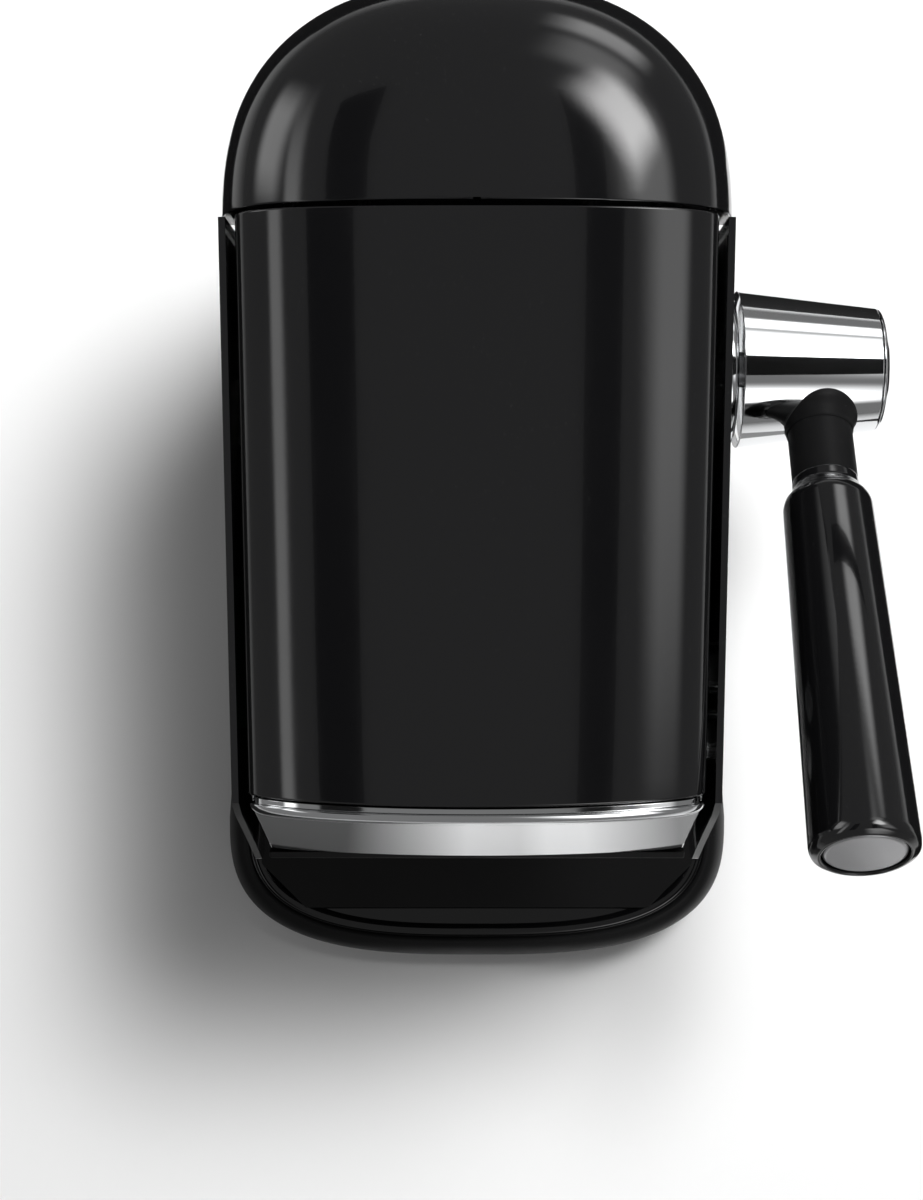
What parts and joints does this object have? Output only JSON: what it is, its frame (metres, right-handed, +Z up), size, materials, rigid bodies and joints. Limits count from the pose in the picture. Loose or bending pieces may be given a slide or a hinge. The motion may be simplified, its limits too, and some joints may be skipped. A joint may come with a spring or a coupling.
{
  "type": "pod coffee machine",
  "caption": "Countertop coffee machine for pods: a sliding head over a cup bay, a side lever that opens it, a lift-out water tank under a dome and a pull-out drip tray.",
  "frame": {"origin": "on the table, under the middle of the whole machine, lever included", "axes": "+Z up, -Y to the front where the cup stands, +X to the side that carries the lever"},
  "size_m": [0.241, 0.331, 0.328],
  "materials": {
    "black_lacquer": "high gloss lacquer",
    "chrome": "polished",
    "satin_black": "fine satin moulding",
    "gloss_black": "gloss",
    "satin_silver": "satin",
    "rubber": "matt",
    "smoked_plastic": "clear smoked",
    "white_plastic": "satin",
    "dark_plastic": "satin",
    "steel": "brushed",
    "aluminium": "as cast",
    "bronze": "turned",
    "hose": "silicone",
    "circuit_board": "solder mask"
  },
  "bodies": {
    "machine": {"rubber_feet": "rubber", "base_pan": "satin_black", "base_screws": "steel", "base_shell": "satin_black", "cord_gland": "satin_black", "left_side_panel": "black_lacquer", "right_side_panel": "black_lacquer", "head_floor": "satin_black", "bay_panel": "satin_black", "rear_bulkhead": "satin_black", "capsule_deck": "dark_plastic", "head_rails": "steel", "brew_frame": "steel", "shaft_bushes": "bronze", "extraction_plate": "aluminium", "coffee_pipe": "dark_plastic", "coffee_spout": "chrome", "capsule_chute": "dark_plastic", "feed_gland": "dark_plastic", "thermoblock": "aluminium", "pump": "steel", "pump_mounts": "rubber", "flow_meter": "white_plastic", "cold_hose": "hose", "pressure_hose": "hose", "hot_hose": "hose", "control_board": "circuit_board", "button_switches": "dark_plastic", "button_bezel": "chrome", "escutcheon": "chrome", "tank_socket": "dark_plastic", "socket_seal": "rubber"},
    "head": {"hood": "black_lacquer", "nose_lip": "chrome", "nose_plate": "chrome", "hood_shoes": "white_plastic", "head_carriage": "steel", "capsule_cage": "aluminium", "brew_seal": "rubber", "feed_tube": "bronze", "cage_needles": "steel"},
    "lever": {"lever_shaft": "steel", "right_crank": "steel", "lever_hub": "chrome", "hub_cap": "chrome", "hub_screw": "steel", "neck_collar": "satin_black", "lever_neck": "satin_black", "lever_grip": "gloss_black", "grip_disc": "satin_silver"},
    "follower_crank": {"left_stub_shaft": "steel", "left_crank": "steel"},
    "tank": {"water_tank": "smoked_plastic", "tank_valve": "white_plastic"},
    "tank_cover": {"tank_lid": "black_lacquer"},
    "tray_drawer": {"drip_tray": "satin_black", "capsule_container": "satin_black"},
    "grid": {"drip_grid": "satin_black"},
    "small_button": {"small_cup_button": "satin_silver"},
    "large_button": {"large_cup_button": "satin_silver"}
  },
  "joints": [
    {"name": "lever_lift", "type": "hinge", "parent": "machine", "child": "lever", "pos_m": [0.0425, 0.0625, 0.19], "axis": [-1, 0, 0], "range_deg": [0, 78]},
    {"name": "follower_turn", "type": "hinge", "parent": "machine", "child": "follower_crank", "pos_m": [-0.0575, 0.0625, 0.19], "axis": [-1, 0, 0], "range_deg": [0, 78]},
    {"name": "head_slide", "type": "slide", "parent": "machine", "child": "head", "axis": [0, -1, 0], "range_m": [0, 0.04279]},
    {"name": "tank_lift", "type": "slide", "parent": "machine", "child": "tank", "axis": [0, 0, 1], "range_m": [0, 0.25]},
    {"name": "tank_cover_lift", "type": "slide", "parent": "tank", "child": "tank_cover", "axis": [0, 0, 1], "range_m": [0, 0.08]},
    {"name": "tray_pull", "type": "slide", "parent": "machine", "child": "tray_drawer", "axis": [0, -1, 0], "range_m": [0, 0.14]},
    {"name": "grid_lift", "type": "slide", "parent": "tray_drawer", "child": "grid", "axis": [0, 0, 1], "range_m": [0, 0.05]},
    {"name": "small_button_press", "type": "slide", "parent": "machine", "child": "small_button", "axis": [-1, 0, 0], "range_m": [0, 0.0025], "stiffness_N_per_m": 400, "springref_m": -0.002},
    {"name": "large_button_press", "type": "slide", "parent": "machine", "child": "large_button", "axis": [-1, 0, 0], "range_m": [0, 0.0025], "stiffness_N_per_m": 400, "springref_m": -0.002}
  ],
  "couplings": [
    {"joint": "head_slide", "follows": "lever_lift", "m_per_rad": 0.031435},
    {"joint": "follower_turn", "follows": "lever_lift", "ratio": 1}
  ]
}
